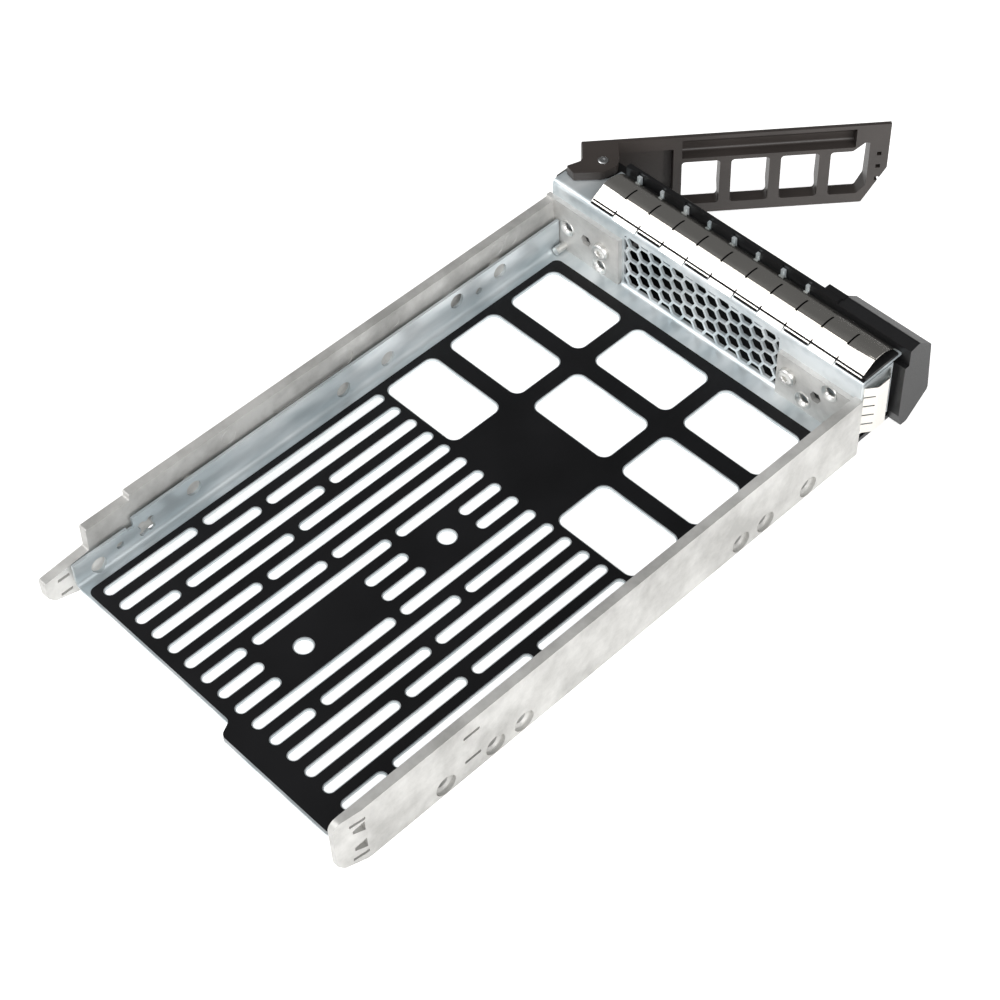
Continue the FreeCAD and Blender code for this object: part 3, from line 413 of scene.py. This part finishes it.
# moulded carrier under the top gasket, with a thin black tongue under every other finger; the tongues are
# painted shade, darkening the gap under the shorter fingers' raised rear edges
carrier = {
    "lift": 0.00003,
    "tall": 0.0009,
    "inset": 0.0009,         # in from the gasket's rear edge
    "latchOut": 0.0012,
    "gap": 0.0004,
    "shadeTongueTall": 0.00022,
    "shadeTongueLong": 0.0016,
    "bevel": 0.00008,
}


def carrierBlock(mesh, low, high):
    low = Vector(low)
    high = Vector(high)
    made = bmesh.ops.create_cube(mesh, size=1.0)["verts"]
    bmesh.ops.scale(mesh, vec=high - low, verts=made)
    bmesh.ops.translate(mesh, vec=(low + high) / 2, verts=made)
    edges = list(dict.fromkeys(edge for vert in made for edge in vert.link_edges))
    bmesh.ops.bevel(mesh, geom=edges, offset=carrier["bevel"], affect="EDGES", segments=2,
                    profile=0.5, material=-1)


base = bmesh.new()
bottom = gasketLow.z + carrier["lift"]
carrierBlock(base, (gasketLow.x - carrier["latchOut"], gasketLow.y, bottom),
             (gasketHigh.x - carrier["gap"], gasketHigh.y - carrier["inset"], bottom + carrier["tall"]))
# painted shade: a black tongue under each shorter finger, so the gap beneath its raised rear edge reads dark
# as shade would
for index in range(0, fingers, 2):
    side = gasketLow.x + index * gasket["pitch"]
    start = side + carrier["gap"] if index else side - carrier["latchOut"]
    carrierBlock(base, (start, gasketHigh.y - carrier["shadeTongueLong"], bottom),
                 (side + gasket["pitch"] - carrier["gap"], gasketHigh.y, bottom + carrier["shadeTongueTall"]))
addPiece(base, "gasketCarrier", "black_plastic", "caddy")


def rearCentre(node):
    # middle of a fastener's rear end, and its whole length
    low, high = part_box(node)
    return Vector(((low.x + high.x) / 2, high.y, (low.z + high.z) / 2)), high.y - low.y


# pan-head screws with a six-lobed recess
screw = {
    "lobe": 0.00016,
    "recess": 0.00098,
    "recessDeep": 0.0009,
    "crown": 0.0017,
    "rim": 0.0021,
    "head": 0.0027,
    "headTall": 0.0015,
    "shank": 0.00145,
    "break": 0.0001,         # broken edge under the head
    "point": 0.0002,
}
for node in ("hinge_block_screw", "latch_block_screw"):
    top, long = rearCentre(node)
    body = bmesh.new()
    turned(body, top, (0, -1, 0), [
        (screw["recessDeep"], screw["recess"] * 0.85, screw["lobe"]),
        (0.00008, screw["recess"], screw["lobe"]),
        (0.0, screw["recess"] + 0.00006, screw["lobe"]),
        (0.0, screw["crown"]),
        (0.00004, screw["rim"]),
        (0.0003, 0.00248),
        (0.0007, 0.00266),
        (0.0011, screw["head"]),
        (screw["headTall"] - screw["break"] / 2, screw["head"]),
        (screw["headTall"], screw["head"] - screw["break"]),
        (screw["headTall"], screw["shank"]),
        (long - screw["point"], screw["shank"]),
        (long, screw["shank"] - 0.0003)])
    addPiece(body, node.replace("_", "") + "Torx", "screw_steel", "caddy", node)

# tubular rivets: rolled rim over the block, funnel and open bore
rivet = {
    "rim": 0.00268,
    "proud": 0.00025,
    "bore": 0.00138,
    "shank": 0.00145,
    "long": 0.0015,
    "segments": 40,
}
for corner in ("hinge_block_outer", "hinge_block_lower", "latch_block_lower", "latch_block_outer"):
    node = corner + "_rivet"
    body = bmesh.new()
    turned(body, rearCentre(node)[0], (0, -1, 0), [
        (rivet["long"], rivet["bore"]),
        (0.0009, rivet["bore"]),
        (0.0006, 0.00146),
        (0.0001, 0.00195),
        (-rivet["proud"] * 0.8, 0.00232),
        (-rivet["proud"], 0.00246),
        (-rivet["proud"] * 0.7, 0.00262),
        (0.0, rivet["rim"]),
        (0.0, 0.0022),
        (0.0011, rivet["shank"]),
        (rivet["long"], rivet["shank"])], rivet["segments"], hollow=True)
    addPiece(body, node.replace("_", "") + "Tube", "screw_steel", "caddy", node)
print("screws and rivets made")

# hinge pin's riveted head, with a small dimple: height above the pin and radius
pinOutline = [(0.00002, 0.00148), (0.00012, 0.00146), (0.00028, 0.00128), (0.00034, 0.0009),
              (0.0003, 0.0006), (0.00014, 0.00035), (0.0001, 0.0001)]
pinLow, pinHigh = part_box("hinge_pin")
head = bmesh.new()
turned(head, ((pinLow.x + pinHigh.x) / 2, (pinLow.y + pinHigh.y) / 2, pinHigh.z), (0, 0, 1), pinOutline, 40)
addPiece(head, "pinHead", "pin_steel", "caddy")

# torsion spring round the pin and compression spring behind the button
torsion = {"wire": 0.00034, "turns": 6.0}
pusher = {"wire": 0.00022, "turns": 5.0, "keep": 0.5}


def torsionCoil():
    low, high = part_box("handle_spring")
    wire = torsion["wire"]
    body = bmesh.new()
    coil(body, ((low.x + high.x) / 2, (low.y + high.y) / 2, low.z + wire), (high.x - low.x) / 2 - wire, wire,
         (0, 0, 1), high.z - low.z - 2 * wire, torsion["turns"])
    addPiece(body, "torsionCoil", "spring_steel", "caddy", "handle_spring")


def buttonCoil():
    low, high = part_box("button_spring")
    wire = pusher["wire"]
    body = bmesh.new()
    coil(body, ((low.x + high.x) / 2, low.y + wire, (low.z + high.z) / 2), (high.x - low.x) / 2 - wire, wire,
         (0, 1, 0), high.y - low.y - 2 * wire, pusher["turns"])
    piece = addPiece(body, "buttonCoil", "spring_steel", "caddy", "button_spring")
    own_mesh(piece)


torsionCoil()
buttonCoil()

# painted shade: black discs at the bottoms of the two hexagonal holes, darkening them as the shade inside
# would
hexHoleShade = {
    "radius": 0.0023,
    "thick": 0.00005,
    "front": -0.10047,       # just behind the front wall's steel
    "spots": {"hinge": (0.041, 0.0083), "latch": (-0.0422, 0.0074)},
}
for label, (x, z) in hexHoleShade["spots"].items():
    disc = bmesh.new()
    turned(disc, (x, hexHoleShade["front"], z), (0, 1, 0), [
        (0.0, hexHoleShade["radius"]), (hexHoleShade["thick"], hexHoleShade["radius"])], 24)
    addPiece(disc, label + "HexShade", "black_plastic", "caddy")

# ejector-pin marks left on the cast rail: distance from the film's front edge and height
ejector = {
    "radius": 0.0024,
    "wide": 0.00022,
    "edge": 0.00006,
    "sunk": 0.00001,
    "proud": 0.00007,
    "face": 0.0535,
    "front": -0.095,
    "spots": [(0.0179, 0.0121), (0.0125, 0.0121), (0.0563, 0.0121), (0.1133, 0.0118)],
}
for index, (back, up) in enumerate(ejector["spots"]):
    mark = bmesh.new()
    inner = ejector["radius"] - ejector["wide"]
    turned(mark, (ejector["face"], ejector["front"] + back, up), (-1, 0, 0), [
        (ejector["sunk"], inner),
        (ejector["proud"], inner + ejector["edge"]),
        (ejector["proud"], ejector["radius"] - ejector["edge"]),
        (ejector["sunk"], ejector["radius"])], 40, hollow=True)
    addPiece(mark, "ejectorMark%d" % index, "cast_zinc", "caddy")
print("new pieces made")

# studio: pale floor under the lowest point, two soft lamps, a bright world
studio = {
    "floorColour": "#F4F4F3",
    "floorLift": 0.66,       # share of white that camera and mirror rays see
    "floorSize": 3.0,
    "worldDim": 0.13,        # light from high up and from the front
    "worldBright": 0.9,      # light from the horizon behind
    "keyPower": 5.1,
    "keySize": 0.7,
    "keyPlace": (0.55, 0.62, 0.85),
    "fillPower": 9.0,
    "fillSize": 0.9,
    "fillPlace": (-0.95, 0.25, 0.5),
    "lampAim": (0, -0.02, 0),
    "cameraPlace": (-0.28661, 0.23147, 0.44947),
    "cameraTurn": (40.150, 1.887, -134.121),
    "lens": 83.1,
}


def floorPaper():
    # matt white, lifted towards pure white for camera and mirror rays so that only the shadow shows
    material, tree, out, place = startMaterial("mattWhitePaper")
    paper = addNode(tree, "ShaderNodeBsdfDiffuse", {}, {"Color": linear(studio["floorColour"])})
    path = addNode(tree, "ShaderNodeLightPath")
    seen = addNode(tree, "ShaderNodeMath", {"operation": "MAXIMUM"}, {
        0: path.outputs["Is Camera Ray"], 1: path.outputs["Is Glossy Ray"]})
    lift = addNode(tree, "ShaderNodeMath", {"operation": "MULTIPLY"}, {
        0: seen.outputs[0], 1: studio["floorLift"]})
    glow = addNode(tree, "ShaderNodeEmission", {}, {"Color": (1, 1, 1, 1), "Strength": lift.outputs[0]})
    both = addNode(tree, "ShaderNodeAddShader", {}, {0: paper.outputs[0], 1: glow.outputs[0]})
    tree.links.new(both.outputs[0], out.inputs["Surface"])
    return material


def studioFloor():
    mesh = bmesh.new()
    bmesh.ops.create_grid(mesh, x_segments=1, y_segments=1, size=studio["floorSize"])
    bmesh.ops.translate(mesh, verts=mesh.verts, vec=(0, 0, packedLow.z))
    data = bpy.data.meshes.new("studioFloor")
    mesh.to_mesh(data)
    mesh.free()
    data.materials.append(floorPaper())
    linkObject("studioFloor", data)


def softRoom():
    # the room is brightest behind the caddy's open end, at +Y, and white where the camera sees it
    world = bpy.data.worlds.new("softRoom")
    bpy.context.scene.world = world
    world.use_nodes = True
    tree = world.node_tree
    background = tree.nodes["Background"]
    direction = addNode(tree, "ShaderNodeTexCoord").outputs["Generated"]
    split = addNode(tree, "ShaderNodeSeparateXYZ", {}, {"Vector": direction})
    glowing = addNode(tree, "ShaderNodeMapRange", {"interpolation_type": "SMOOTHSTEP"}, {
        "Value": split.outputs["Y"], "From Min": -0.35, "From Max": 0.55,
        "To Min": studio["worldDim"], "To Max": studio["worldBright"]}).outputs["Result"]
    path = addNode(tree, "ShaderNodeLightPath")
    shown = addNode(tree, "ShaderNodeMath", {"operation": "MAXIMUM"}, {
        0: path.outputs["Is Camera Ray"], 1: glowing})
    background.inputs["Color"].default_value = (1, 1, 1, 1)
    tree.links.new(shown.outputs[0], background.inputs["Strength"])


def softLamp(name, power, size, place):
    lamp = bpy.data.lights.new(name, "AREA")
    lamp.energy = power
    lamp.size = size
    thing = linkObject(name, lamp)
    thing.location = place
    towards = Vector(studio["lampAim"]) - Vector(place)
    thing.rotation_euler = towards.to_track_quat("-Z", "Y").to_euler()


def studioCamera():
    data = bpy.data.cameras.new("studioCamera")
    data.lens = studio["lens"]
    data.sensor_width = 36
    data.clip_start = 0.01
    camera = linkObject("studioCamera", data)
    camera.location = studio["cameraPlace"]
    camera.rotation_euler = [math.radians(v) for v in studio["cameraTurn"]]
    bpy.context.scene.camera = camera


studioFloor()
softRoom()
softLamp("keyLamp", studio["keyPower"], studio["keySize"], studio["keyPlace"])
softLamp("fillLamp", studio["fillPower"], studio["fillSize"], studio["fillPlace"])
studioCamera()
bpy.context.scene.view_settings.view_transform = "Standard"
print("studio set")
